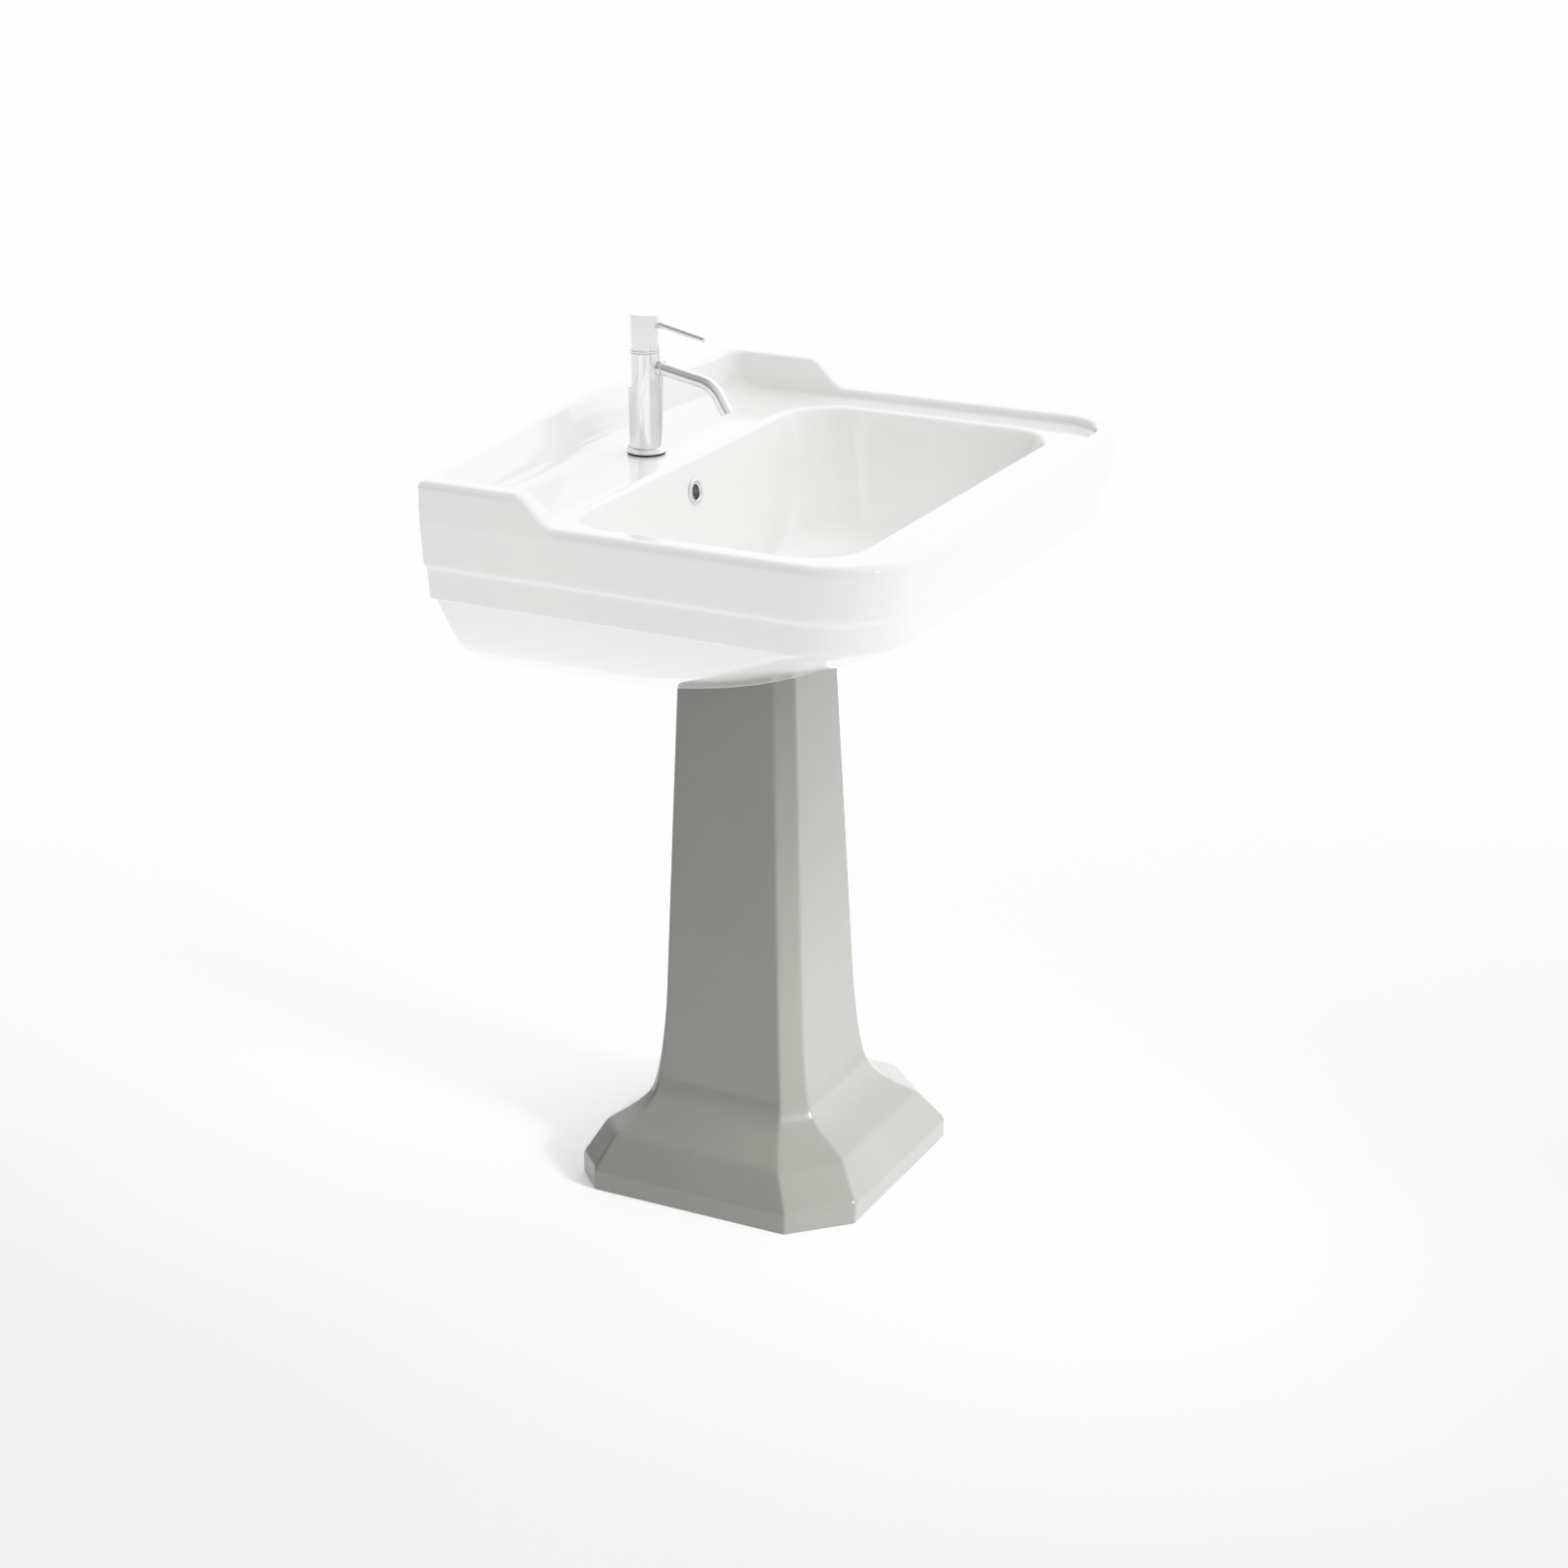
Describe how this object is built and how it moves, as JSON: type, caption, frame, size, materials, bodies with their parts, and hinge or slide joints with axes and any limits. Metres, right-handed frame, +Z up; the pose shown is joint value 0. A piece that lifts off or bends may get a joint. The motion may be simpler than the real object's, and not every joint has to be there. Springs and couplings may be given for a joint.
{
  "type": "pedestal sink",
  "caption": "Washbasin with a raised back and wings on a tapered octagonal pedestal, with a single lever tap, push waste and bottle trap.",
  "frame": {"origin": "on the floor, under the centre of the basin outline (the middle of the whole object's box)", "axes": "+X to the right of a user who faces the wall, +Y from the user to the wall, +Z up"},
  "size_m": [0.71, 0.532, 0.998],
  "materials": {
    "white_china": "glossy white glaze",
    "grey_china": "glossy warm grey glaze",
    "chrome": "polished chrome plate",
    "brass": "plain machined brass",
    "steel": "zinc plated steel",
    "rubber": "matt black rubber",
    "white_plastic": "white nylon",
    "grey_plastic": "grey engineering plastic"
  },
  "bodies": {
    "sink": {"basin": "white_china", "pedestal": "grey_china", "seat_pad_front": "rubber", "seat_pad_left": "rubber", "seat_pad_right": "rubber", "floor_washer_left": "steel", "floor_screw_left": "steel", "floor_washer_right": "steel", "floor_screw_right": "steel", "tap_body": "chrome", "tap_dome": "chrome", "cartridge_housing": "grey_plastic", "cartridge_nut": "brass", "spout_tube": "chrome", "spout_collar": "chrome", "aerator_insert": "white_plastic", "tap_foot_gasket": "rubber", "tap_foot_ring": "chrome", "tap_clamp_gasket": "rubber", "tap_clamp_plate": "steel", "tap_stud": "steel", "tap_stud_nut": "brass", "inlet_tail_hot": "brass", "inlet_tail_cold": "brass", "overflow_ring": "chrome", "waste_seal": "rubber", "waste_body": "chrome", "waste_under_gasket": "rubber", "waste_locknut": "brass", "waste_guide": "grey_plastic", "trap_inlet_pipe": "chrome", "trap_inlet_nut": "chrome", "trap_body": "chrome", "trap_cup": "chrome", "trap_outlet_nut": "chrome", "trap_outlet_seal": "rubber", "wall_sleeve_left": "white_plastic", "wall_washer_left": "steel", "wall_nut_left": "steel", "wall_bolt_left": "steel", "wall_sleeve_right": "white_plastic", "wall_washer_right": "steel", "wall_nut_right": "steel", "wall_bolt_right": "steel"},
    "rotor": {"cartridge_rotor": "white_plastic"},
    "handle": {"handle_cap": "chrome", "lever_rod": "chrome", "lever_stem": "brass", "handle_grub_screw": "steel"},
    "plug": {"waste_plug": "chrome", "plug_seal": "rubber"}
  },
  "joints": [
    {"name": "handle_turn", "type": "hinge", "parent": "sink", "child": "rotor", "pos_m": [0, 0.19, 0.934], "axis": [0, 0, 1], "range_deg": [-50, 50]},
    {"name": "handle_lift", "type": "hinge", "parent": "rotor", "child": "handle", "pos_m": [0, 0.19, 0.934], "axis": [-1, 0, 0], "range_deg": [0, 18]},
    {"name": "plug_lift", "type": "slide", "parent": "sink", "child": "plug", "axis": [0, 0, 1], "range_m": [0, 0.008]}
  ]
}
